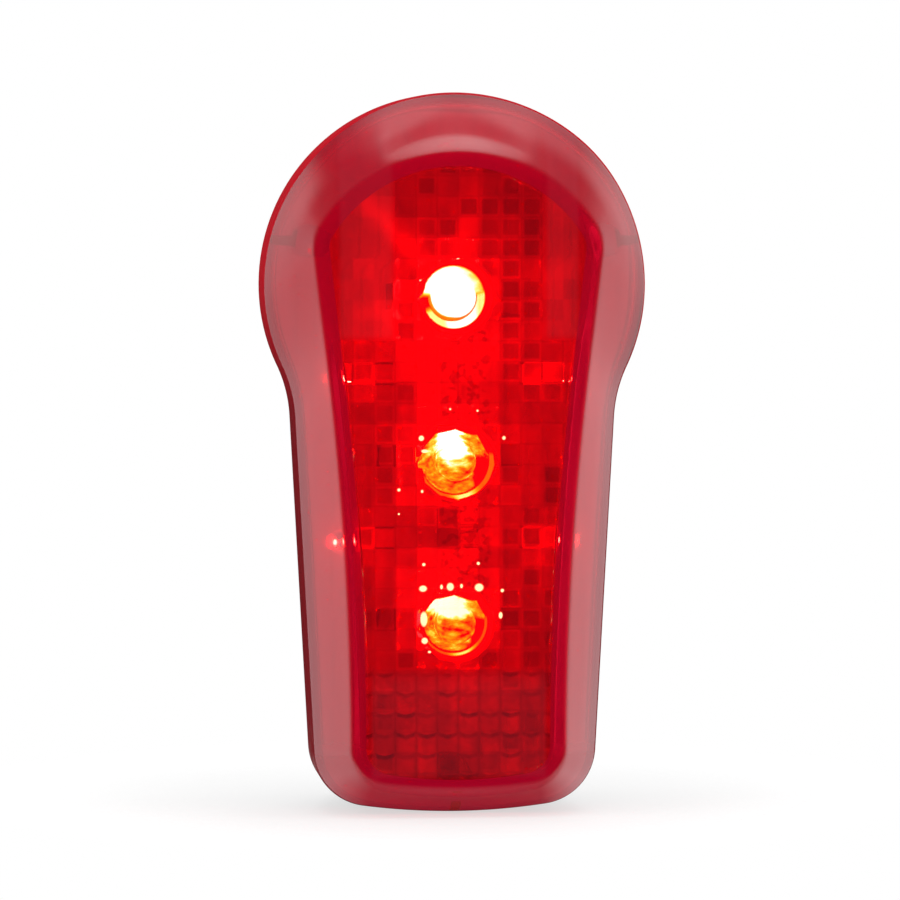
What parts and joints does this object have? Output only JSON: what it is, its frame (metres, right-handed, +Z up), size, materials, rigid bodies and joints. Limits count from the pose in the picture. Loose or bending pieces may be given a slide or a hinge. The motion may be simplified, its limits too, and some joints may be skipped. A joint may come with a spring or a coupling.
{
  "type": "bicycle tail light",
  "caption": "Bicycle tail light with a red raised-window lens over front and side lamps, a battery housing, a push button and a rear clip.",
  "frame": {"origin": "middle of the clip's gap, where a strap or a bracket's blade lies", "axes": "+X to the right of someone facing the lens, +Y back towards the bicycle, +Z up; the lens faces -Y"},
  "size_m": [0.048, 0.0338, 0.09],
  "materials": {
    "red_lens": "clear red, polished",
    "dark_plastic": "fine moulded texture",
    "clip_plastic": "fine moulded texture",
    "soft_rubber": "matt",
    "cell_sleeve": "plain printed sleeve",
    "spring_wire": "plated wire",
    "plated_contact": "nickel plated",
    "pale_board": "white solder mask",
    "black_package": "moulded package",
    "capacitor_can": "drawn can",
    "screw_steel": "zinc plated",
    "lamp_body": "clear, lit",
    "bright_bowl": "bright metallised"
  },
  "bodies": {
    "housing_body": {"rear_housing": "dark_plastic", "joint_seal": "soft_rubber", "cell_left": "cell_sleeve", "cell_right": "cell_sleeve", "spring_left": "spring_wire", "spring_right": "spring_wire", "bridge_contact": "plated_contact", "positive_contact": "plated_contact", "negative_contact": "plated_contact", "button_retainer": "dark_plastic", "clip_foot": "clip_plastic", "clip_screws": "screw_steel"},
    "cover_body": {"front_lens": "red_lens", "circuit_board": "pale_board", "lamp_leads": "spring_wire", "control_chip": "black_package", "resistors": "black_package", "capacitor": "capacitor_can", "board_screws": "screw_steel", "positive_finger": "plated_contact", "negative_finger": "plated_contact", "switch_base": "black_package", "lamp_top": "lamp_body", "bowl_top": "bright_bowl", "lamp_middle": "lamp_body", "bowl_middle": "bright_bowl", "lamp_foot": "lamp_body", "bowl_foot": "bright_bowl", "side_lamp_upper_left": "lamp_body", "side_lamp_upper_right": "lamp_body", "side_lamp_lower_left": "lamp_body", "side_lamp_lower_right": "lamp_body"},
    "button_body": {"push_button": "soft_rubber"},
    "stem_body": {"switch_stem": "dark_plastic"},
    "tongue_body": {"clip_tongue": "clip_plastic"}
  },
  "joints": [
    {"name": "cover_pull", "type": "slide", "parent": "housing_body", "child": "cover_body", "axis": [0, -1, 0], "range_m": [0, 0.03]},
    {"name": "button_press", "type": "slide", "parent": "housing_body", "child": "button_body", "axis": [0, -1, 0], "range_m": [0, 0.0009], "stiffness_N_per_m": 2000},
    {"name": "stem_press", "type": "slide", "parent": "cover_body", "child": "stem_body", "axis": [0, -1, 0], "range_m": [0, 0.0003]},
    {"name": "clip_flex", "type": "hinge", "parent": "housing_body", "child": "tongue_body", "pos_m": [0, 0.0034, 0.0245], "axis": [1, 0, 0], "range_deg": [0, 6], "stiffness_Nm_per_rad": 3}
  ],
  "couplings": [
    {"joint": "stem_press", "follows": "button_press", "ratio": 0.3333}
  ]
}
